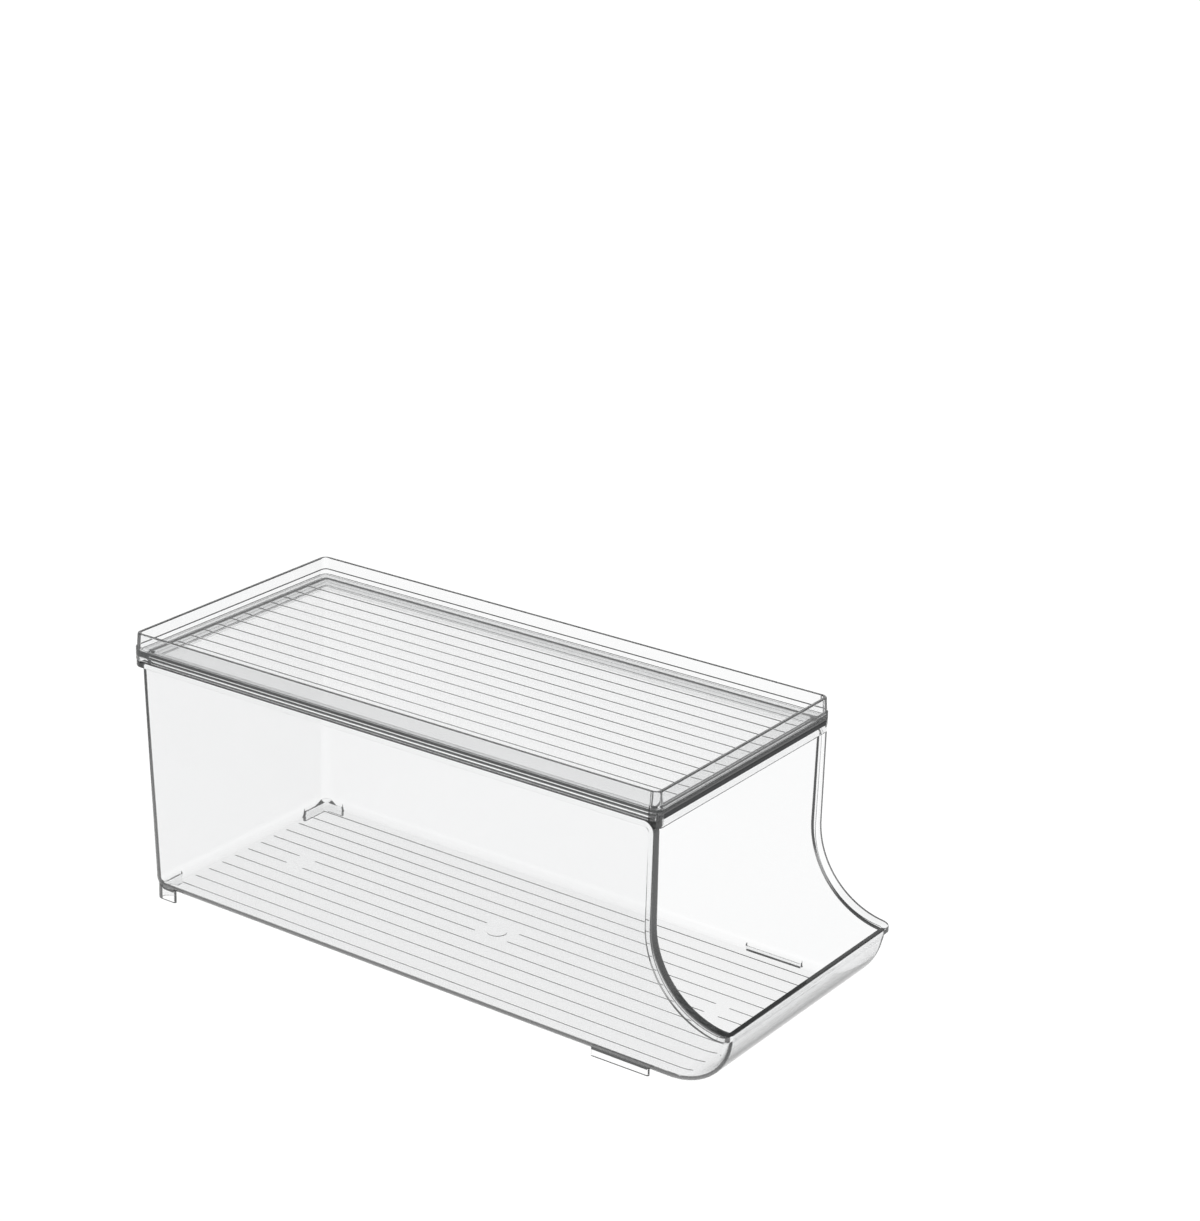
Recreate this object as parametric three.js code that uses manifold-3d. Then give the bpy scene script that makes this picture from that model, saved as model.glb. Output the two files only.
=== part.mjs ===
// Clear plastic refrigerator bin with a low scooped front and a lift-off tray lid.
// Millimetres, +Z up, origin at the middle of the footprint, front opening towards -Y.
// Two injection mouldings: bin_body and lid.
import * as THREE from 'three';
import { mergeVertices } from 'three/addons/utils/BufferGeometryUtils.js';
import Module from 'manifold-3d';

const wasm = await Module();
wasm.setup();

// driving dimensions
const overallLength = 348;
const overallWidth = 146;
const overallHeight = 142;
const wall = 1.8; // wall and floor thickness
const gap = 0.3; // clearance between lid and body
const draft = 0.019; // wall lean, mm inwards per mm down
const reach = 30; // how far a cutting shape runs past what it cuts

// body
const rimTop = 128; // top face of the body's outward flange
const flangeOut = 3; // flange overhang past the wall
const flangeThick = 2.6;
const flangeCorner = 5.5; // corner radius of the flange, seen from above
const wallCorner = 5; // corner radius of the upright wall edges
const frontEdge = -132; // upright front edges of the side walls
const lipTop = 36; // height of the low front lip
const rimBend = 4; // turn of the flange at the front top corners
const edgeRound = 6; // rounding where walls meet the floor
const floorLow = 3.7; // underside height at floorMiddle
const floorMiddle = 20;
const floorSlope = 0.01; // the floor falls slightly to the front
const scoopRadius = 33; // outer radius of the curved front
const lipOut = 0.8; // flange overhang along the low front lip

// ribs and pads
const ribPitch = 10;
const ribWide = 1.4;
const ribHigh = 0.5;
const floorRibPairs = 6;
const lidRibPairs = 5;
const floorRibRear = 160;
const floorRibEnd = 254; // angle up the curved front where the lines stop, in degrees
const ribBreaks = [[124, 133], [-5, 13], [-126.5, -120.5]]; // flat pads across the two middle ribs
const gateSpot = { y: 4, radius: 5, high: 0.4 };

// feet
const footThick = 2;
const footInset = 0.8; // from the wall's foot to the foot's outer face
const legSide = 12; // rear leg, wing along the side
const legRear = 18; // rear leg, wing along the rear
const stripRear = -98;
const stripFront = -130;
const footTop = 8; // feet run up into the floor

// lid
const lidLength = 308;
const lidPanelTop = 133;
const lidPanelThick = 2.5;
const lidLean = 1; // the upstand's top stands in by this much
const upstandThick = 2;
const shoulder = 135; // height where the upstand meets the skirt
const skirtThick = 1.7;
const frontSkirtLow = 124.7;
const ringOut = 67.4; // locating ring, half width outside
const ringThick = 1.5;
const ringCorner = 2.5;
const ringLow = 126;
const lidCorner = 5;
const lidRibRearGap = 5; // ribs stop this far from the rear upstand
const lidRibFrontGap = 1;

// worked-out places
const halfWidth = overallWidth / 2;
const rear = overallLength / 2;
const lipFront = -overallLength / 2;
const wallOut = halfWidth - flangeOut;
const rearWall = rear - flangeOut;
const arcRadius = frontEdge - lipFront; // concave front edge
const lipWall = lipFront + lipOut;
const floorAngle = Math.atan(floorSlope);
const scoopMiddle = { y: lipWall + scoopRadius, z: underside(lipWall + scoopRadius) + scoopRadius };

// helpers
function underside(y) {
  return floorLow + floorSlope * (y - floorMiddle);
}

// Points of an arc from angle start to angle end, in degrees.
function arc(middleU, middleV, radius, start, end, steps) {
  const points = [];
  for (let i = 0; i <= steps; i += 1) {
    const angle = THREE.MathUtils.degToRad(start + ((end - start) * i) / steps);
    points.push(new THREE.Vector2(middleU + radius * Math.cos(angle), middleV + radius * Math.sin(angle)));
  }
  return points;
}

function roundedBox(left, right, front, back, radius, steps = 6) {
  return new THREE.Shape([
    ...arc(right - radius, back - radius, radius, 0, 90, steps),
    ...arc(left + radius, back - radius, radius, 90, 180, steps),
    ...arc(left + radius, front + radius, radius, 180, 270, steps),
    ...arc(right - radius, front + radius, radius, 270, 360, steps),
  ]);
}

function toSolid(geometry) {
  geometry.deleteAttribute('normal');
  geometry.deleteAttribute('uv');
  const merged = mergeVertices(geometry, 1e-4);
  return new wasm.Manifold(new wasm.Mesh({
    numProp: 3,
    vertProperties: merged.attributes.position.array,
    triVerts: merged.index.array,
  }));
}

function toMesh(solid, name, material) {
  const data = solid.getMesh();
  const geometry = new THREE.BufferGeometry();
  geometry.setAttribute('position', new THREE.BufferAttribute(data.vertProperties, 3));
  geometry.setIndex(new THREE.BufferAttribute(data.triVerts, 1));
  geometry.computeVertexNormals();
  const mesh = new THREE.Mesh(geometry, material);
  mesh.name = name;
  return mesh;
}

// A plan shape raised from low to high; lean moves the top outwards per mm of height.
function raise(shape, low, high, lean = 0, steady = high) {
  const geometry = new THREE.ExtrudeGeometry(shape, { depth: high - low, bevelEnabled: false });
  geometry.translate(0, 0, low);
  const place = geometry.attributes.position;
  const middle = (new THREE.Box2().setFromPoints(shape.getPoints())).getCenter(new THREE.Vector2());
  for (let i = 0; i < place.count; i += 1) {
    const shift = lean * (place.getZ(i) - steady);
    place.setX(i, place.getX(i) + Math.sign(place.getX(i) - middle.x) * shift);
    place.setY(i, place.getY(i) + Math.sign(place.getY(i) - middle.y) * shift);
  }
  return toSolid(geometry);
}

// A side-view shape, drawn in Y and Z, carried across from left to right.
function across(points, left, right) {
  const shape = new THREE.Shape(points);
  const geometry = new THREE.ExtrudeGeometry(shape, { depth: right - left, bevelEnabled: false });
  const turn = new THREE.Matrix4().makeBasis(
    new THREE.Vector3(0, 1, 0),
    new THREE.Vector3(0, 0, 1),
    new THREE.Vector3(1, 0, 0),
  );
  geometry.applyMatrix4(turn);
  geometry.translate(left, 0, 0);
  return toSolid(geometry);
}

// A front-view shape, drawn in X and Z, carried along Y and tipped to the floor's fall.
function along(points, front, back) {
  const shape = new THREE.Shape(points);
  const geometry = new THREE.ExtrudeGeometry(shape, { depth: back - front, bevelEnabled: false });
  geometry.rotateX(Math.PI / 2);
  geometry.translate(0, back, 0);
  geometry.translate(0, -floorMiddle, -floorLow);
  geometry.rotateX(floorAngle);
  geometry.translate(0, floorMiddle, floorLow);
  return toSolid(geometry);
}

// body
// The rim seen from the side, from the rear over the front corner and down to the lip.
function rimLine(inset, back) {
  return [
    new THREE.Vector2(back, rimTop - inset),
    ...arc(frontEdge + rimBend, rimTop - rimBend, rimBend - inset, 90, 180, 5),
    ...arc(lipFront, lipTop + arcRadius, arcRadius + inset, 0, -90, 18),
  ];
}

// The scooped front and floor seen from the side, from the lip back to the rear; inset is 0 outside.
function floorLine(inset) {
  const upright = lipWall + inset;
  const tail = rearWall - draft * (rimTop - edgeRound) - inset;
  const lowRear = underside(tail) + inset;
  const round = edgeRound - inset;
  return [
    new THREE.Vector2(upright, lipTop),
    ...arc(scoopMiddle.y, scoopMiddle.z, scoopRadius - inset, 180, 270, 16),
    ...arc(tail - round, lowRear + round, round, -90, 0, 5),
  ];
}

// Upright walls with lean, open above and in front; inset is 0 outside and the wall thickness inside.
function tub(inset, top) {
  const side = wallOut - inset;
  const plan = roundedBox(-side, side, lipFront - reach, rearWall - inset, wallCorner - inset);
  const walls = raise(plan, -reach, top, draft, rimTop);
  const low = floorLow + inset;
  const foot = side - draft * (rimTop - floorLow);
  const round = edgeRound - inset;
  const section = [
    new THREE.Vector2(reach + side, top + reach),
    new THREE.Vector2(-reach - side, top + reach),
    new THREE.Vector2(-reach - side, low + round),
    ...arc(-foot + round, low + round, round, 180, 270, 5),
    ...arc(foot - round, low + round, round, 270, 360, 5),
    new THREE.Vector2(reach + side, low + round),
  ];
  return walls.intersect(along(section, lipFront - reach, rear + reach));
}

function makeBody(material) {
  const outline = [...rimLine(0, rearWall), ...floorLine(0)];
  const skin = tub(0, rimTop).intersect(across(outline, -halfWidth, halfWidth));

  const bandLine = [...rimLine(0, rear), ...rimLine(flangeThick, rear).reverse()];
  const band = across(bandLine, -halfWidth, halfWidth);
  const plan = roundedBox(-halfWidth, halfWidth, lipFront, rear, flangeCorner);
  const flange = band.intersect(raise(plan, 0, overallHeight));

  const hollowLine = [
    ...floorLine(wall),
    new THREE.Vector2(rearWall - wall, rimTop),
    new THREE.Vector2(rearWall - wall, rimTop + reach),
    new THREE.Vector2(lipWall + wall, rimTop + reach),
  ];
  const hollow = tub(wall, rimTop + reach).intersect(across(hollowLine, -halfWidth, halfWidth));

  let body = skin.add(flange);
  body = feet().reduce((whole, foot) => whole.add(foot), body);
  body = body.subtract(hollow);
  body = floorRibs().reduce((whole, rib) => whole.add(rib), body);
  return toMesh(body, 'bin_body', material);
}

// A foot seen from above: a strip with round ends between two corners.
function footStrip(left, right, front, back) {
  const round = Math.min(right - left, back - front) / 2 - 0.01;
  return raise(roundedBox(left, right, front, back, round, 4), 0, footTop);
}

function feet() {
  const side = wallOut - draft * rimTop - footInset;
  const tail = rearWall - draft * rimTop - footInset;
  const pieces = [];
  for (const hand of [-1, 1]) {
    const edges = [hand * side, hand * (side - footThick)].sort((a, b) => a - b);
    const wings = [hand * side, hand * (side - legRear)].sort((a, b) => a - b);
    pieces.push(footStrip(edges[0], edges[1], stripFront, stripRear));
    pieces.push(footStrip(edges[0], edges[1], tail - legSide, tail));
    pieces.push(footStrip(wings[0], wings[1], tail - footThick, tail));
  }
  return pieces;
}

// One raised line on the floor, between two distances along the floor, or up the scoop.
function floorRib(x, front, back) {
  const top = wall + ribHigh;
  const sink = wall / 2;
  const height = (y, lift) => new THREE.Vector2(y, underside(y) + lift);
  const outline = [height(back, sink), height(back, wall), height(back - ribHigh, top)];
  if (front < scoopMiddle.y) {
    outline.push(...arc(scoopMiddle.y, scoopMiddle.z, scoopRadius - top, 270, floorRibEnd, 6));
    outline.push(...arc(scoopMiddle.y, scoopMiddle.z, scoopRadius - sink, floorRibEnd, 270, 6));
  } else {
    outline.push(height(front + ribHigh, top), height(front, wall), height(front, sink));
  }
  return across(outline.reverse(), x - ribWide / 2, x + ribWide / 2);
}

function floorRibs() {
  const ribs = [];
  for (let i = 0; i < floorRibPairs; i += 1) {
    for (const hand of [-1, 1]) {
      const x = hand * ribPitch * (i + 0.5);
      let back = floorRibRear;
      for (const [front, next] of i === 0 ? ribBreaks.map(([low, high]) => [high, low]) : []) {
        ribs.push(floorRib(x, front, back));
        back = next;
      }
      ribs.push(floorRib(x, lipFront, back));
    }
  }
  const gate = new THREE.CylinderGeometry(gateSpot.radius, gateSpot.radius, wall, 32);
  gate.rotateX(Math.PI / 2 + floorAngle);
  gate.translate(0, gateSpot.y, underside(gateSpot.y) + wall / 2 + gateSpot.high);
  ribs.push(toSolid(gate));
  return ribs;
}

// lid
function lidPlan(inset, radius) {
  const side = halfWidth - inset;
  const back = rear - inset;
  return roundedBox(-side, side, rear - lidLength + inset, back, radius);
}

function makeLid(material) {
  const lean = -lidLean / (overallHeight - shoulder);
  const skirt = raise(lidPlan(0, lidCorner), rimTop + gap, shoulder);
  const upstand = raise(lidPlan(0, lidCorner), shoulder - 1, overallHeight, lean, shoulder - 1);
  const trayPlan = lidPlan(upstandThick, lidCorner - upstandThick);
  const tray = raise(trayPlan, lidPanelTop, overallHeight + 1, lean, shoulder - 1);
  const panelLow = lidPanelTop - lidPanelThick;
  const under = raise(lidPlan(skirtThick, lidCorner - skirtThick), 0, panelLow);

  const front = rear - lidLength;
  const frontPlan = roundedBox(-halfWidth, halfWidth, front, front + 2 * lidCorner, lidCorner - 0.1);
  const deepSkirt = raise(frontPlan, frontSkirtLow, shoulder);
  const clearFront = new THREE.BoxGeometry(overallWidth + reach, reach, rimTop);
  clearFront.translate(0, front + skirtThick + reach / 2, panelLow - rimTop / 2);

  const ringInset = halfWidth - ringOut;
  const ring = raise(lidPlan(ringInset, ringCorner), ringLow, panelLow + 1)
    .subtract(raise(lidPlan(ringInset + ringThick, ringCorner - ringThick), 0, panelLow));

  let lid = skirt.add(upstand).subtract(tray).subtract(under);
  lid = lid.add(deepSkirt.subtract(toSolid(clearFront)));
  lid = lid.add(ring);
  for (let i = -lidRibPairs; i <= lidRibPairs; i += 1) {
    lid = lid.add(lidRib(i * ribPitch));
  }
  return toMesh(lid, 'lid', material);
}

// One raised line on the tray, with a sloped rear end.
function lidRib(x) {
  const back = rear - upstandThick - lidRibRearGap;
  const front = rear - lidLength + upstandThick + lidRibFrontGap;
  const low = lidPanelTop - lidPanelThick / 2;
  const outline = [
    new THREE.Vector2(front, low),
    new THREE.Vector2(back, low),
    new THREE.Vector2(back, lidPanelTop),
    new THREE.Vector2(back - 2 * ribHigh, lidPanelTop + ribHigh),
    new THREE.Vector2(front + ribHigh, lidPanelTop + ribHigh),
    new THREE.Vector2(front, lidPanelTop),
  ];
  return across(outline, x - ribWide / 2, x + ribWide / 2);
}

// the object
const clearPlastic = new THREE.MeshStandardMaterial({ color: 0xe6ecef, roughness: 0.06, metalness: 0 });
const object = new THREE.Group();
object.add(makeBody(clearPlastic));
object.add(makeLid(clearPlastic.clone()));

export default object;
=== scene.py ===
import math

import bmesh
import bpy
from mathutils import Matrix, Vector


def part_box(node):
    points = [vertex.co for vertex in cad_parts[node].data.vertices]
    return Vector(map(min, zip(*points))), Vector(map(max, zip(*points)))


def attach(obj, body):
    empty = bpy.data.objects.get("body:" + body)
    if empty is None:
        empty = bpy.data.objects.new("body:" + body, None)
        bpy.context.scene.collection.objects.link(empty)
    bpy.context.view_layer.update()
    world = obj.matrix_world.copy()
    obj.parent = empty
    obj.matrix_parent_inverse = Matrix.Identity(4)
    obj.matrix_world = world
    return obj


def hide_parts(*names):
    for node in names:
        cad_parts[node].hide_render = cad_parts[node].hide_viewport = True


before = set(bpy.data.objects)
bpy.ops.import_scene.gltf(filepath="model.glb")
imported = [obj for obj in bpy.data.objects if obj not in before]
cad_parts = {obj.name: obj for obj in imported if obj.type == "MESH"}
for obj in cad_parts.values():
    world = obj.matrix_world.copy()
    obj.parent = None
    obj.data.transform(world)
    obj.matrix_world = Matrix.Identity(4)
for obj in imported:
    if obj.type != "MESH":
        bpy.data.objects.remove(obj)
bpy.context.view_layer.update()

mm = 0.001  # everything below is drawn in millimetres
bodyLow, bodyHigh = (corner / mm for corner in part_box("bin_body"))
lidLow, lidHigh = (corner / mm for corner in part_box("lid"))
print("frame loaded, bin body", [round(v, 1) for v in bodyHigh - bodyLow])


# small drawing tools

softAngles = (0, 30, 60, 90)  # points round a softened lower edge


def turn(middleU, middleV, radius, start, end, steps):
    angles = [math.radians(start + (end - start) * i / steps) for i in range(steps + 1)]
    return [(middleU + radius * math.cos(a), middleV + radius * math.sin(a)) for a in angles]


def easeIn(value):
    value = min(max(value, 0.0), 1.0)
    return value * value * (3 - 2 * value)


def roundOff(corners, steps=5):
    # corners are (u, v, radius, tag); the first and last stay as they are
    line = [(corners[0][0], corners[0][1], corners[0][3])]
    for before, here, after in zip(corners, corners[1:], corners[2:]):
        point = Vector(here[:2])
        toBefore = (Vector(before[:2]) - point).normalized()
        toAfter = (Vector(after[:2]) - point).normalized()
        half = toBefore.angle(toAfter) / 2
        reach = here[2] / math.tan(half)
        middle = point + (toBefore + toAfter).normalized() * here[2] / math.sin(half)
        start = point + toBefore * reach - middle
        end = point + toAfter * reach - middle
        swing = start.angle_signed(end)
        for i in range(steps + 1):
            spot = middle + Matrix.Rotation(-swing * i / steps, 2) @ start
            line.append((spot.x, spot.y, here[3]))
    line.append((corners[-1][0], corners[-1][1], corners[-1][3]))
    return line


class Shell:
    # collects points and faces, then makes one mesh of them and counts its faulty edges
    def __init__(self):
        self.points = []
        self.faces = []

    def row(self, points):
        start = len(self.points)
        self.points.extend(Vector(p) for p in points)
        return list(range(start, len(self.points)))

    def strip(self, rowA, rowB, closed=False):
        count = len(rowA)
        for i in range(count if closed else count - 1):
            j = (i + 1) % count
            self.faces.append((rowA[i], rowA[j], rowB[j], rowB[i]))

    def plate(self, loop):
        self.faces.append(tuple(loop))

    def build(self, name):
        mesh = bpy.data.meshes.new(name)
        mesh.from_pydata([p * mm for p in self.points], [], self.faces)
        work = bmesh.new()
        work.from_mesh(mesh)
        bmesh.ops.remove_doubles(work, verts=work.verts, dist=0.004 * mm)
        bmesh.ops.dissolve_degenerate(work, edges=work.edges, dist=0.002 * mm)
        bmesh.ops.recalc_face_normals(work, faces=work.faces)
        faulty = sum(not e.is_manifold for e in work.edges)
        counts = f"{len(work.verts)} points, {len(work.faces)} faces, {faulty} faulty edges"
        print(" ", name, counts)
        work.to_mesh(mesh)
        work.free()
        piece = bpy.data.objects.new(name, mesh)
        bpy.context.scene.collection.objects.link(piece)
        return piece


def unite(piece, *others):
    # welds other pieces on; walls are left inside where the first piece isn't closed
    for other in others:
        weld = piece.modifiers.new("weld", "BOOLEAN")
        weld.operation = "UNION"
        weld.solver = "EXACT"
        weld.object = other
    graph = bpy.context.evaluated_depsgraph_get()
    joined = bpy.data.meshes.new_from_object(piece.evaluated_get(graph))
    piece.modifiers.clear()
    piece.data = joined
    for other in others:
        bpy.data.objects.remove(other)
    return piece


def ribbon(path, half, steps=6):
    # closed outline round a line of points in plan, with round ends
    left, right = [], []
    for i, (x, y) in enumerate(path):
        ahead = Vector(path[min(i + 1, len(path) - 1)]) - Vector(path[max(i - 1, 0)])
        side = Vector((-ahead.y, ahead.x)).normalized() * half
        left.append((x + side.x, y + side.y))
        right.append((x - side.x, y - side.y))

    def cap(end, before):
        away = math.degrees(math.atan2(end[1] - before[1], end[0] - before[0]))
        return turn(end[0], end[1], half, away - 90, away + 90, steps)[1:-1]

    return right + cap(path[-1], path[-2]) + left[::-1] + cap(path[0], path[1])


def standing(name, path, half, low, high, soften=0.4):
    # a strip standing on its softened lower edge; high may follow the floor's fall
    shell = Shell()
    rings = []
    for a in softAngles:
        inset = soften * (1 - math.sin(math.radians(a)))
        height = low + soften * (1 - math.cos(math.radians(a)))
        rings.append(shell.row((x, y, height) for x, y in ribbon(path, half - inset)))
    rings.append(shell.row((x, y, high(y)) for x, y in ribbon(path, half)))
    for lower, upper in zip(rings, rings[1:]):
        shell.strip(lower, upper, closed=True)
    shell.plate(rings[0])
    shell.plate(rings[-1])
    return shell.build(name)


def ribColumns(middles, wide, steps=8):
    return sorted(m + wide * (i / steps - 0.5) for m in middles for i in range(steps + 1))


def ribBump(x, middles, wide, high):
    off = min(abs(x - m) for m in middles) / (wide / 2)
    return high * 0.5 * (1 + math.cos(math.pi * off)) if off < 1 else 0.0


def endRows(ends, soft, steps=4):
    rows = []
    for end, inwards in ends:
        rows.extend(end + inwards * soft * i / steps for i in range(steps + 1))
    return rows


# bin body

binShape = {
    "wall": 1.8,
    "lean": 0.019,  # walls lean in by this much per mm of height
    "flangeOut": 3.0,
    "lipOut": 0.8,  # overhang of the flange along the low lip
    "flangeThick": 3.0,
    "rootRound": 2.2,
    "flangeCorner": 5.5,
    "wallCorner": 2.8,
    "innerSoft": 0.35,  # softened edges of the flange
    "noseSoft": 0.5,
    "frontSweep": 42.0,  # radius of the hollow front edge
    "lipTop": 36.0,
    "rimBend": 5.4,
    "edgeRound": 6.0,
    "rearRound": 6.5,
    "floorLow": 3.7,
    "floorMiddle": 20.0,
    "floorFall": 0.01,
    "scoopRadius": 33.0,
    "cornerSteps": 8,
    "ribWide": 1.5,
    "ribHigh": 0.14,
    "ribPitch": 10.0,
    "ribPairs": 6,
    "ribRear": 160.0,
    "ribFront": -147.5,
    "ribSoft": 1.2,
    "pads": ((124.0, 133.0), (-5.0, 13.0), (-126.5, -120.5)),
    "rimRows": (150, 100, 50, 0, -50, -100),  # y of the side rim's rows
    "frontRows": (105, 90),  # z of the front edge's upright rows
    "rearRows": (105, 75, 45, 22),
    "floorRows": (152, 110, 60, 30, -40, -80),
    "sweepSteps": 30,
    "softSteps": 5,
    "rootSteps": 7,
    "rearSteps": 8,
    "scoopSteps": 20,
}
gateShape = {
    "x": 0.0,
    "y": 4.0,
    "radius": 5.0,
    "high": 0.3,
    "sunk": 0.8,
    "edge": 0.3,
    # share of the radius and of the height, from the rim's inner edge to the middle
    "dish": ((0.45, 1.0), (0.35, 0.4), (0.1, 0.3)),
    "steps": 48,
}
feetShape = {
    "half": 1.0,
    "inset": 1.8,  # centre line, in from the foot of the wall
    "corner": 3.4,
    "legSide": 12.0,
    "legRear": 18.0,
    "stripRear": -98.0,
    "stripFront": -130.0,
    "sunk": 3.0,
}

halfWidth, rear, rimTop = bodyHigh
lipFront = bodyLow.y
frontEdge = lipFront + binShape["frontSweep"]
lipWall = lipFront + binShape["lipOut"]


def wallHalf(z):
    return halfWidth - binShape["flangeOut"] - binShape["lean"] * (rimTop - z)


def rearFace(z):
    return rear - binShape["flangeOut"] - binShape["lean"] * (rimTop - z)


def underside(y):
    return binShape["floorLow"] + binShape["floorFall"] * (y - binShape["floorMiddle"])


def hollowEdge(y):
    # height of the front rim at y, and the direction that it faces
    s = binShape
    across = min(max((y - lipFront) / s["frontSweep"], 0.0), 1.0)
    upright = math.sqrt(1 - across * across)
    return s["lipTop"] + s["frontSweep"] * (1 - upright), -across, upright


def sideStations():
    # the rim of one side wall from the rear corner to the lip corner: y, z and facing
    s = binShape
    line = [(y, rimTop, 0.0, 1.0) for y in s["rimRows"]]
    bend = (frontEdge + s["rimBend"], rimTop - s["rimBend"])
    for a in range(90, 181, 10):
        facing = (math.cos(math.radians(a)), math.sin(math.radians(a)))
        reach = [s["rimBend"] * share for share in facing]
        line.append((bend[0] + reach[0], bend[1] + reach[1], *facing))
    line += [(frontEdge, z, -1.0, 0.0) for z in s["frontRows"]]
    lastAngle = math.degrees(math.acos((s["flangeOut"] + s["wallCorner"]) / s["frontSweep"]))
    for i in range(s["sweepSteps"]):
        a = math.radians(lastAngle * i / s["sweepSteps"])
        y = lipFront + s["frontSweep"] * math.cos(a)
        z = s["lipTop"] + s["frontSweep"] * (1 - math.sin(a))
        line.append((y, z, -math.cos(a), math.sin(a)))
    return line


def rimSection():
    # from the inner wall over the flange to the outer wall: base line, distance out, depth
    s = binShape
    soft, nose, thick, root = s["innerSoft"], s["noseSoft"], s["flangeThick"], s["rootRound"]
    few, many = s["softSteps"], s["rootSteps"]
    line = [("inner", u, v) for u, v in turn(soft, soft, soft, 180, 270, few)]
    line += [("flange", u, v) for u, v in turn(-nose, nose, nose, -90, 0, few)]
    line += [("flange", u, v) for u, v in turn(-nose, thick - nose, nose, 0, 90, few)]
    line += [("outer", u, v) for u, v in turn(root, thick + root, root, -90, -180, many)]
    return line


def baseLine(base, z):
    # half width, rear, front and corner radius of a base line at height z
    s = binShape
    if base == "flange":
        return halfWidth, rear, lipFront, s["flangeCorner"]
    inset = 0 if base == "outer" else s["wall"]
    return wallHalf(z) - inset, rearFace(z) - inset, lipWall + inset, s["wallCorner"] - inset


def rearPoint(spot, base, out, depth):
    z = rimTop - depth
    half, back, _, corner = baseLine(base, z)
    if spot[0] == "column":
        return (spot[1], back + out, z)
    a = math.radians(spot[2])
    x = half - corner + (corner + out) * math.cos(a)
    return (spot[1] * x, back - corner + (corner + out) * math.sin(a), z)


def lipPoint(spot, base, out, depth):
    _, _, front, corner = baseLine(base, binShape["lipTop"])
    a = math.radians(90 if spot[0] == "column" else spot[2])
    # the overhang is smaller here, so the round under it is squeezed to fit
    narrow = binShape["lipOut"] / binShape["flangeOut"] if base == "outer" else 1
    y = front + corner - (corner + out * narrow) * math.sin(a)
    z, faceY, faceZ = hollowEdge(y)
    y, z = y - faceY * depth, z - faceZ * depth
    if spot[0] == "column":
        return (spot[1], y, z)
    return (spot[1] * (baseLine(base, z)[0] - corner + (corner + out) * math.cos(a)), y, z)


def sidePoint(hand, station, base, out, depth):
    y, z, faceY, faceZ = station
    z -= faceZ * depth
    return (hand * (baseLine(base, z)[0] + out), y - faceY * depth, z)


def acrossSpots(columns):
    # places from left to right along the rear or the lip
    steps = binShape["cornerSteps"]
    left = [("corner", -1, 90 * i / steps) for i in range(steps + 1)]
    right = [("corner", 1, 90 * (steps - i) / steps) for i in range(steps + 1)]
    return left + [("column", x) for x in columns] + right


def floorPath(inset):
    # rear wall, floor and scoop seen from the side: y, z, facing out and side rounding
    s = binShape
    lean, fall = s["lean"], s["floorFall"]
    leanLong, fallLong = math.hypot(1, lean), math.hypot(1, fall)
    path = []
    for z in s["rearRows"]:
        share = (rimTop - z) / rimTop
        side = s["wallCorner"] + (s["edgeRound"] - s["wallCorner"]) * easeIn(share)
        path.append((rearFace(z) - inset, z, 1 / leanLong, -lean / leanLong, side))
    middleY, middleZ = rearFace(0), 0.0
    for _ in range(4):  # a few rounds settle where the rear bend sits
        middleZ = underside(middleY) + s["rearRound"] * fallLong
        middleY = rearFace(middleZ) - s["rearRound"] * leanLong
    start, end = -math.degrees(math.atan(lean)), -90 + math.degrees(math.atan(fall))
    for i in range(s["rearSteps"] + 1):
        a = math.radians(start + (end - start) * i / s["rearSteps"])
        reach = s["rearRound"] - inset
        path.append((middleY + reach * math.cos(a), middleZ + reach * math.sin(a),
                     math.cos(a), math.sin(a), s["edgeRound"]))
    scoopY = lipWall + s["scoopRadius"]
    rows = [*s["floorRows"], scoopY]
    if inset:
        rows += endRows([(s["ribRear"], -1)], s["ribSoft"])
        for low, high in s["pads"]:
            rows += endRows([(low, -1), (high, 1)], s["ribSoft"])
    for y in sorted(set(rows), reverse=True):
        path.append((y + fall * -inset, underside(y) + inset / fallLong,
                     fall / fallLong, -1 / fallLong, s["edgeRound"]))
    scoopZ = underside(scoopY) + s["scoopRadius"] * fallLong
    reach = s["scoopRadius"] - inset
    steps = s["scoopSteps"]
    stops = [end - (180 + end) * i / steps for i in range(1, steps + 1)]
    if inset:
        stops += [-90 - math.degrees(math.asin((scoopY - y) / reach))
                  for y in endRows([(s["ribFront"], 1)], s["ribSoft"])]
    else:
        stops = stops[:-1]
    for stop in sorted(stops, reverse=True):
        a = math.radians(stop)
        share = easeIn((-stop - 90) / 90)
        side = s["edgeRound"] + (s["wallCorner"] - s["edgeRound"]) * share
        path.append((scoopY + reach * math.cos(a), scoopZ + reach * math.sin(a),
                     math.cos(a), math.sin(a), side))
    return path


def floorRibHeight(x, y, middles):
    s = binShape
    middle = min(middles, key=lambda m: abs(x - m))
    spans = [(s["ribFront"], s["ribRear"])]
    if abs(middle) < s["ribPitch"]:
        breaks = [v for low, high in reversed(s["pads"]) for v in (low, high)]
        edges = [s["ribFront"], *breaks, s["ribRear"]]
        spans = list(zip(edges[0::2], edges[1::2]))
    share = 0.0
    for front, back in spans:
        if front < y < back:
            share = easeIn((y - front) / s["ribSoft"]) * easeIn((back - y) / s["ribSoft"])
    return share * ribBump(x, middles, s["ribWide"], s["ribHigh"])


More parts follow.
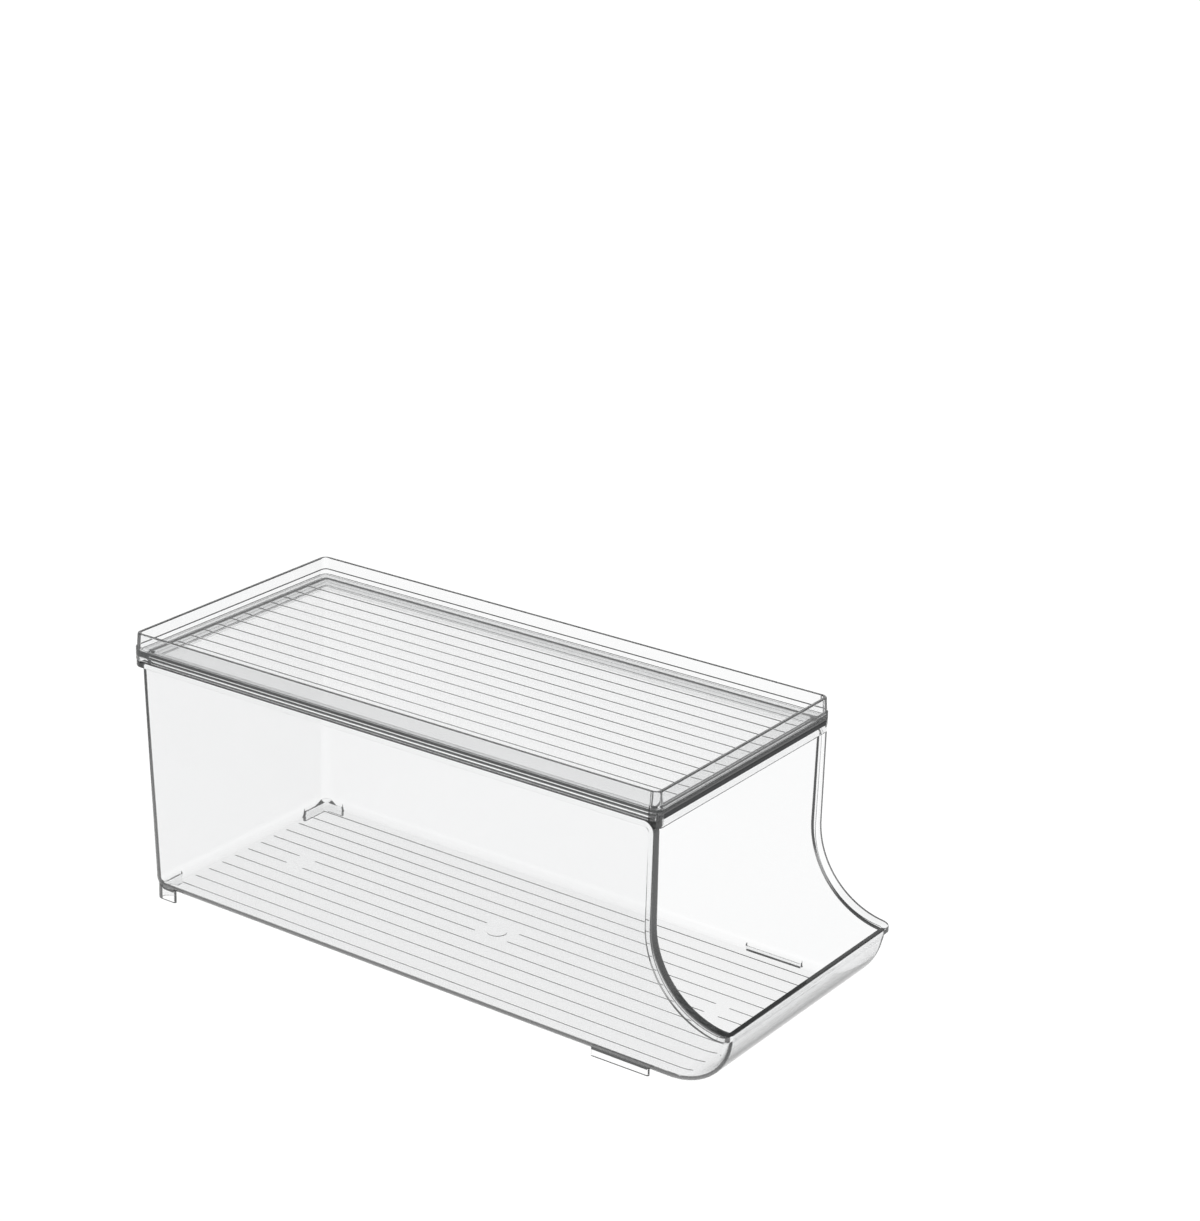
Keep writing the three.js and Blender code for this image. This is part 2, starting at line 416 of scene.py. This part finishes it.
def makeBody():
    s = binShape
    shell = Shell()
    middles = [s["ribPitch"] * (i + 0.5) * hand for i in range(s["ribPairs"]) for hand in (-1, 1)]
    columns = ribColumns(middles, s["ribWide"])
    spots = acrossSpots(columns)
    stations = sideStations()
    loops = []
    for base, out, depth in rimSection():
        rearRow = shell.row(rearPoint(p, base, out, depth) for p in spots)
        rightRow = shell.row(sidePoint(1, t, base, out, depth) for t in stations)
        lipRow = shell.row(lipPoint(p, base, out, depth) for p in spots)
        leftRow = shell.row(sidePoint(-1, t, base, out, depth) for t in stations)
        loops.append((rearRow, rightRow, lipRow, leftRow))
    rings = [back + right + lip[::-1] + left[::-1] for back, right, lip, left in loops]
    for ringA, ringB in zip(rings, rings[1:]):
        shell.strip(ringA, ringB, closed=True)
    for inset, loop in ((s["wall"], loops[0]), (0, loops[-1])):
        rearRow, rightRow, lipRow, leftRow = loop
        grid = [rearRow]
        for y, z, faceY, faceZ, side in floorPath(inset):
            side -= inset
            row = []
            for spot in spots:
                if spot[0] == "corner":
                    a = math.radians(spot[2])
                    lift = side * (1 - math.sin(a))
                    pointZ = z - faceZ * lift
                    half = wallHalf(pointZ) - inset
                    pointX = spot[1] * (half - side + side * math.cos(a))
                    row.append((pointX, y - faceY * lift, pointZ))
                else:
                    ribbed = inset and z < rimTop / 4  # the floor and the foot of the scoop
                    lift = floorRibHeight(spot[1], y, middles) if ribbed else 0
                    row.append((spot[1], y - faceY * lift, z - faceZ * lift))
            grid.append(shell.row(row))
        grid.append(lipRow)
        for rowA, rowB in zip(grid, grid[1:]):
            shell.strip(rowA, rowB)
        shell.plate([row[0] for row in grid] + leftRow[::-1])
        shell.plate([row[-1] for row in grid] + rightRow[::-1])
    return shell.build("binBodyShell")


def makeFeet():
    f = feetShape
    side = wallHalf(0) - f["inset"]
    tail = rearFace(0) - f["inset"]
    feet = []

    def top(y):
        return underside(y) + f["sunk"]

    for hand in (-1, 1):
        stripEnds = (f["stripFront"] + f["half"], f["stripRear"] - f["half"])
        strip = [(hand * side, y) for y in stripEnds]
        feet.append(standing(f"strip{hand}", strip, f["half"], 0, top))
        c = f["corner"]
        leg = [(hand * side, tail - f["legSide"] + f["half"])]
        leg += [(hand * x, y) for x, y in turn(side - c, tail - c, c, 0, 90, 8)]
        leg.append((hand * (side - f["legRear"] + f["half"]), tail))
        feet.append(standing(f"leg{hand}", leg, f["half"], 0, top))
    return feet


def makeGate():
    # the low round mark in the floor where the plastic was let into the mould
    g = gateShape
    floorTop = underside(g["y"]) + binShape["wall"]
    profile = [
        (g["radius"], floorTop - g["sunk"]),
        (g["radius"], floorTop + g["high"] * 0.5),
        (g["radius"] - g["edge"], floorTop + g["high"]),
    ]
    profile += [(g["radius"] * across, floorTop + g["high"] * up) for across, up in g["dish"]]
    angles = [math.tau * i / g["steps"] for i in range(g["steps"])]
    shell = Shell()
    rings = []
    for radius, z in profile:
        circle = [(g["x"] + radius * math.cos(a), g["y"] + radius * math.sin(a), z) for a in angles]
        rings.append(shell.row(circle))
    for ringA, ringB in zip(rings, rings[1:]):
        shell.strip(ringA, ringB, closed=True)
    shell.plate(rings[0])
    shell.plate(rings[-1])
    return shell.build("gate")


# lid

lidShape = {
    "corner": 5.0,
    "upstandIn": 1.0,  # top of the upstand, in from the skirt
    "upstandThick": 2.0,
    "shoulder": 7.0,  # below the top
    "panelTop": 9.0,
    "panelThick": 2.5,
    "skirtThick": 1.7,
    "skirtLow": 13.7,
    "apronLow": 17.3,
    "ringIn": 5.6,
    "ringThick": 1.5,
    "ringLow": 16.0,
    "ribWide": 1.5,
    "ribHigh": 0.13,
    "ribPitch": 10.0,
    "ribPairs": 5,
    "ribRearGap": 4.0,
    "ribFrontGap": 0.3,
    "ribSoft": 0.8,
    "panelEdge": 1.1,  # where the section starts, in from the upstand's top
    "upstandSplay": 0.8,  # the upstand's inner face leans out towards its foot
    "ledgeIn": 0.55,
    "ledgeHigh": 0.6,
    "ledgeLow": 0.2,
    "underEdge": 1.5,  # where the section ends, in from the ring
    "topRound": 0.6,
    "round": 0.5,
    "lowRound": 0.4,
    "innerRound": 0.8,
    "sideRows": (100, 50, 0, -50, -100),
    "cornerSteps": 8,
    "apronSunk": 0.8,
}


def lidSection():
    # from the panel's top out over the upstand, down the skirt and back under the panel
    s = lidShape
    top = lidHigh.z
    panelTop, panelLow = top - s["panelTop"], top - s["panelTop"] - s["panelThick"]
    upIn, upOut = s["upstandIn"] + s["upstandThick"], s["upstandIn"]
    shoulder, skirtLow = top - s["shoulder"], top - s["skirtLow"]
    ringIn, ringOut = s["ringIn"] + s["ringThick"], s["ringIn"]
    ringLow, soft = top - s["ringLow"], s["round"]
    # inset, height, rounding and the least corner radius in plan
    corners = [
        (upIn + s["panelEdge"], panelTop, 0, 0.0),
        (upIn - s["upstandSplay"], panelTop, soft, 1.0),
        (upIn, top, s["topRound"], 1.0),
        (upOut, top, s["topRound"], 1.0),
        (s["ledgeIn"], shoulder + s["ledgeHigh"], soft, 1.0),
        (0.0, shoulder - s["ledgeLow"], soft, 1.0),
        (0.0, skirtLow, soft, 1.0),
        (s["skirtThick"], skirtLow, s["lowRound"], 1.0),
        (s["skirtThick"], panelLow, s["innerRound"], 1.0),
        (ringOut, panelLow, soft, 1.0),
        (ringOut, ringLow, soft, 1.0),
        (ringIn, ringLow, soft, 1.0),
        (ringIn, panelLow, soft, 1.0),
        (ringIn + s["underEdge"], panelLow, 0, 0.0),
    ]
    return roundOff(corners)


def makeLid():
    # known fault: the rows at the rib ends reach past the corner arcs, so the sections fold there
    s = lidShape
    half, back, front, top = lidHigh.x, lidHigh.y, lidLow.y, lidHigh.z
    panelTop = top - s["panelTop"]
    middles = [s["ribPitch"] * i for i in range(-s["ribPairs"], s["ribPairs"] + 1)]
    columns = ribColumns(middles, s["ribWide"])
    edge = s["upstandIn"] + s["upstandThick"] + s["panelEdge"]
    ribBack = back - edge - s["ribRearGap"]
    ribFront = front + edge + s["ribFrontGap"]
    rows = sorted([*endRows([(ribBack, -1), (ribFront, 1)], s["ribSoft"]), *s["sideRows"]])
    steps = s["cornerSteps"]

    def plan(inset, keep):
        corner = max(s["corner"] - inset, keep)
        cx = half - inset - corner
        cyBack, cyFront = back - inset - corner, front + inset + corner
        rearRow = [(x, back - inset) for x in columns]
        frontRow = [(x, front + inset) for x in columns]
        rightBack = turn(cx, cyBack, corner, 90, 0, steps)
        rightFront = turn(cx, cyFront, corner, 0, -90, steps)
        leftFront = turn(-cx, cyFront, corner, 270, 180, steps)
        leftBack = turn(-cx, cyBack, corner, 180, 90, steps)
        right = [(half - inset, y) for y in reversed(rows)]
        left = [(-half + inset, y) for y in rows]
        return [rearRow, rightBack, right, rightFront, frontRow[::-1], leftFront, left, leftBack]

    shell = Shell()
    rings = []
    firstParts = None
    for inset, z, keep in lidSection():
        parts = [shell.row((x, y, z) for x, y in part) for part in plan(inset, keep)]
        firstParts = firstParts or parts
        rings.append([i for part in parts for i in part])
    for ringA, ringB in zip(rings, rings[1:]):
        shell.strip(ringA, ringB, closed=True)
    shell.plate(rings[-1])

    rearRow, rightBack, right, rightFront, frontRow, leftFront, left, leftBack = firstParts
    grid = [[leftFront[0]] + frontRow[::-1] + [rightFront[-1]]]
    for index, y in enumerate(rows):
        share = easeIn((y - ribFront) / s["ribSoft"]) * easeIn((ribBack - y) / s["ribSoft"])
        lifts = [share * ribBump(x, middles, s["ribWide"], s["ribHigh"]) for x in columns]
        inner = shell.row((x, y, panelTop + lift) for x, lift in zip(columns, lifts))
        grid.append([left[index]] + inner + [right[len(rows) - 1 - index]])
    grid.append([leftBack[-1]] + rearRow + [rightBack[0]])
    for rowA, rowB in zip(grid, grid[1:]):
        shell.strip(rowA, rowB)
    frontCorners = ((rightFront, right[-1]), (leftFront, left[0]))
    rearCorners = ((rightBack, right[0]), (leftBack, left[-1]))
    for arc, side in frontCorners + rearCorners:
        shell.plate(arc + [side])
    return shell.build("lidShell")


def makeApron():
    # the deeper skirt across the front, outline in plan with softened lower edge
    s = lidShape
    half, front, top = lidHigh.x, lidLow.y, lidHigh.z
    low, soft = top - s["apronLow"], s["round"]
    high = top - s["panelTop"] - s["panelThick"] + s["apronSunk"]
    inner = front + s["skirtThick"]

    def outline(inset):
        corner = s["corner"] - inset
        middleX, middleY = half - s["corner"], front + s["corner"]
        start = math.degrees(math.asin((middleY - inner + inset) / corner))
        right = turn(middleX, middleY, corner, -start, -90, s["cornerSteps"])
        left = [(-x, y) for x, y in reversed(right)]
        return right + left

    shell = Shell()
    rings = []
    for a in softAngles:
        inset = soft * (1 - math.sin(math.radians(a)))
        z = low + soft * (1 - math.cos(math.radians(a)))
        rings.append(shell.row((x, y, z) for x, y in outline(inset)))
    rings.append(shell.row((x, y, high) for x, y in outline(0)))
    for ringA, ringB in zip(rings, rings[1:]):
        shell.strip(ringA, ringB, closed=True)
    shell.plate(rings[0])
    shell.plate(rings[-1])
    return shell.build("apron")


# clear plastic

plasticLook = {
    "tint": (0.996, 0.997, 0.998, 1.0),
    "deepTint": (0.986, 0.988, 0.99, 1.0),
    "paintedGlow": 0.0015,  # painted glow: the plastic gives off a faint light of its own, standing in for light lost on long paths inside it
    "depthTint": (0.90, 0.905, 0.905, 1.0),
    "depthDensity": 90.0,  # long paths inside the plastic lose light
    "ior": 1.52,
    "roughLow": 0.0,
    "roughHigh": 0.012,
    "waveScale": 22.0,
    "waveDetail": 2.0,
    "waveStretch": (1.0, 0.35, 1.0),  # longer along the bin
    "waveStrength": 0.012,
    "waveDistance": 0.0004,
}


def clearPlastic(name, look):
    material = bpy.data.materials.new(name)
    material.use_nodes = True
    nodes, links = material.node_tree.nodes, material.node_tree.links
    shader = nodes["Principled BSDF"]
    shader.inputs["Transmission Weight"].default_value = 1.0
    shader.inputs["IOR"].default_value = look["ior"]
    # painted glow: a faint white emission on the plastic lifts its darkest parts
    shader.inputs["Emission Color"].default_value = (1, 1, 1, 1)
    shader.inputs["Emission Strength"].default_value = look["paintedGlow"]
    place = nodes.new("ShaderNodeTexCoord")
    flow = nodes.new("ShaderNodeTexNoise")  # slow streaks left by the melt as it filled the mould
    flow.inputs["Scale"].default_value = look["waveScale"]
    flow.inputs["Detail"].default_value = look["waveDetail"]
    stretch = nodes.new("ShaderNodeMapping")
    stretch.inputs["Scale"].default_value = look["waveStretch"]
    links.new(place.outputs["Object"], stretch.inputs["Vector"])
    links.new(stretch.outputs["Vector"], flow.inputs["Vector"])
    tone = nodes.new("ShaderNodeMix")
    tone.data_type = "RGBA"
    tone.inputs["A"].default_value = look["tint"]
    tone.inputs["B"].default_value = look["deepTint"]
    links.new(flow.outputs["Fac"], tone.inputs["Factor"])
    links.new(tone.outputs["Result"], shader.inputs["Base Color"])
    polish = nodes.new("ShaderNodeMapRange")
    polish.inputs["To Min"].default_value = look["roughLow"]
    polish.inputs["To Max"].default_value = look["roughHigh"]
    links.new(flow.outputs["Fac"], polish.inputs["Value"])
    links.new(polish.outputs["Result"], shader.inputs["Roughness"])
    wave = nodes.new("ShaderNodeBump")
    wave.inputs["Strength"].default_value = look["waveStrength"]
    wave.inputs["Distance"].default_value = look["waveDistance"]
    links.new(flow.outputs["Fac"], wave.inputs["Height"])
    links.new(wave.outputs["Normal"], shader.inputs["Normal"])
    depth = nodes.new("ShaderNodeVolumeAbsorption")
    depth.inputs["Color"].default_value = look["depthTint"]
    depth.inputs["Density"].default_value = look["depthDensity"]
    links.new(depth.outputs["Volume"], nodes["Material Output"].inputs["Volume"])
    return material


shading = {
    "level": 0.3,  # neighbours within this many degrees are one patch
    "crease": 40.0,
    "tinyArea": 0.01,
}


def evenShade(mesh):
    # broad flat faces keep their own direction and the narrow roundings blend between them
    level, crease = (math.cos(math.radians(shading[key])) for key in ("level", "crease"))
    work = bmesh.new()
    work.from_mesh(mesh)
    spread = {}
    for first in work.faces:
        if first in spread:
            continue
        patch, waiting = [], [first]
        spread[first] = 0
        while waiting:
            face = waiting.pop()
            patch.append(face)
            for other in (f for edge in face.edges for f in edge.link_faces if f not in spread):
                if face.normal.dot(other.normal) > level:
                    spread[other] = 0
                    waiting.append(other)
        weight = (sum(face.calc_area() for face in patch) / mm ** 2) ** 2
        spread.update((face, weight) for face in patch)
    facing = []
    for face in work.faces:
        tiny = face.calc_area() < shading["tinyArea"] * mm ** 2
        for corner in face.loops:
            around = corner.vert.link_faces
            guide = max(around, key=spread.get).normal if tiny else face.normal
            total = Vector()
            for other in around:
                if other.normal.dot(guide) > crease:
                    total += other.normal * spread[other]
            facing.append(total.normalized() if total.length > 0 else guide.copy())
    work.free()
    mesh.shade_smooth()
    mesh.normals_split_custom_set(facing)


def finishPiece(piece, name, node, body, material):
    piece.name = name
    piece.data.name = name
    piece.data.materials.clear()
    piece.data.materials.append(material)
    evenShade(piece.data)
    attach(piece, body)
    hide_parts(node)
    return piece


binPlastic = clearPlastic("clearBinPlastic", plasticLook)
lidPlastic = clearPlastic("clearLidPlastic", plasticLook)

binBody = unite(makeBody(), *makeFeet(), makeGate())
finishPiece(binBody, "binBody", "bin_body", "bin", binPlastic)
print("bin body made")
lid = unite(makeLid(), makeApron())
finishPiece(lid, "trayLid", "lid", "lid", lidPlastic)
print("lid made")


# studio

studio = {
    "floorSize": 12.0,  # metres
    "floorDrop": 0.0002,
    "floorGlow": 1.07,
    "skyGlow": 1.15,
    "turnShade": 0.13,  # painted shade: share of the floor and sky glow kept for each turn a ray has taken inside the plastic
    # the least level of the painted shade on the floor and on the sky
    "floorShadeLimit": 0.06,
    "skyShadeLimit": 0.35,
    # height of the direction looked in, and the sky's level there
    "sky": ((0.0, 1.0), (0.40, 1.0), (0.55, 0.18), (0.80, 0.12), (1.0, 0.3)),
    "cameraAt": (-1111.97, -810.12, 692.68),
    "right": (0.572971, -0.819054, 0.029233),
    "up": (0.273025, 0.224383, 0.935473),
    "forward": (0.772762, 0.528018, -0.352188),
    "lens": 92.425,
    "sensor": 36,
    "clipEnd": 100,
    "bounces": 48,
}


def paintedTurnShade(tree, glow, least):
    # painted shade, not real light: the glow is turned down for each turn a ray has taken inside
    # the plastic, which paints dark bands along the plastic's edges and walls
    path = tree.nodes.new("ShaderNodeLightPath")
    turns = tree.nodes.new("ShaderNodeMath")
    turns.operation = "MINIMUM"
    tree.links.new(path.outputs["Glossy Depth"], turns.inputs[0])
    tree.links.new(path.outputs["Transmission Depth"], turns.inputs[1])
    turnShade = tree.nodes.new("ShaderNodeMath")
    turnShade.operation = "POWER"
    turnShade.inputs[0].default_value = studio["turnShade"]
    tree.links.new(turns.outputs["Value"], turnShade.inputs[1])
    rest = tree.nodes.new("ShaderNodeMath")
    rest.operation = "MAXIMUM"
    rest.inputs[1].default_value = least
    tree.links.new(turnShade.outputs["Value"], rest.inputs[0])
    level = tree.nodes.new("ShaderNodeMath")
    level.operation = "MULTIPLY"
    level.inputs[1].default_value = glow
    tree.links.new(rest.outputs["Value"], level.inputs[0])
    return level.outputs["Value"]


def makeStudio():
    s = studio
    bpy.ops.mesh.primitive_plane_add(size=s["floorSize"], location=(0, 0, -s["floorDrop"]))
    floor = bpy.context.object
    floor.name = "studioFloor"
    paper = bpy.data.materials.new("palePaper")
    paper.use_nodes = True
    nodes, links = paper.node_tree.nodes, paper.node_tree.links
    shader = nodes["Principled BSDF"]
    shader.inputs["Base Color"].default_value = (0.0, 0.0, 0.0, 1)
    shader.inputs["Roughness"].default_value = 1.0
    shader.inputs["Specular IOR Level"].default_value = 0.0
    shader.inputs["Emission Color"].default_value = (1, 1, 1, 1)
    # painted shade: the floor glows less in rays that have turned inside the plastic
    glow = paintedTurnShade(paper.node_tree, s["floorGlow"], s["floorShadeLimit"])
    links.new(glow, shader.inputs["Emission Strength"])
    floor.data.materials.append(paper)

    world = bpy.data.worlds.new("softStudio")
    bpy.context.scene.world = world
    world.use_nodes = True
    nodes, links = world.node_tree.nodes, world.node_tree.links
    sky = nodes["Background"]
    place = nodes.new("ShaderNodeTexCoord")
    split = nodes.new("ShaderNodeSeparateXYZ")
    ramp = nodes.new("ShaderNodeValToRGB")
    links.new(place.outputs["Generated"], split.inputs["Vector"])
    links.new(split.outputs["Z"], ramp.inputs["Fac"])
    links.new(ramp.outputs["Color"], sky.inputs["Color"])
    # painted shade: the sky glows less in rays that have turned inside the plastic
    links.new(paintedTurnShade(world.node_tree, s["skyGlow"], s["skyShadeLimit"]), sky.inputs["Strength"])
    while len(ramp.color_ramp.elements) < len(s["sky"]):
        ramp.color_ramp.elements.new(0.5)
    for element, (height, level) in zip(ramp.color_ramp.elements, s["sky"]):
        element.position = height
        element.color = (level, level, level, 1)

    camera = bpy.data.cameras.new("camera")
    camera.lens = s["lens"]
    camera.sensor_width = s["sensor"]
    camera.clip_end = s["clipEnd"]
    eye = bpy.data.objects.new("camera", camera)
    bpy.context.scene.collection.objects.link(eye)
    right, up, back = Vector(s["right"]), Vector(s["up"]), -Vector(s["forward"])
    turnTo = Matrix((right, up, back)).transposed().to_4x4()
    eye.matrix_world = Matrix.Translation(Vector(s["cameraAt"]) * mm) @ turnTo
    bpy.context.scene.camera = eye


makeStudio()
scene = bpy.context.scene
scene.view_settings.view_transform = "Standard"
scene.cycles.max_bounces = studio["bounces"]
scene.cycles.transmission_bounces = studio["bounces"]
scene.cycles.glossy_bounces = studio["bounces"]
print("studio made")
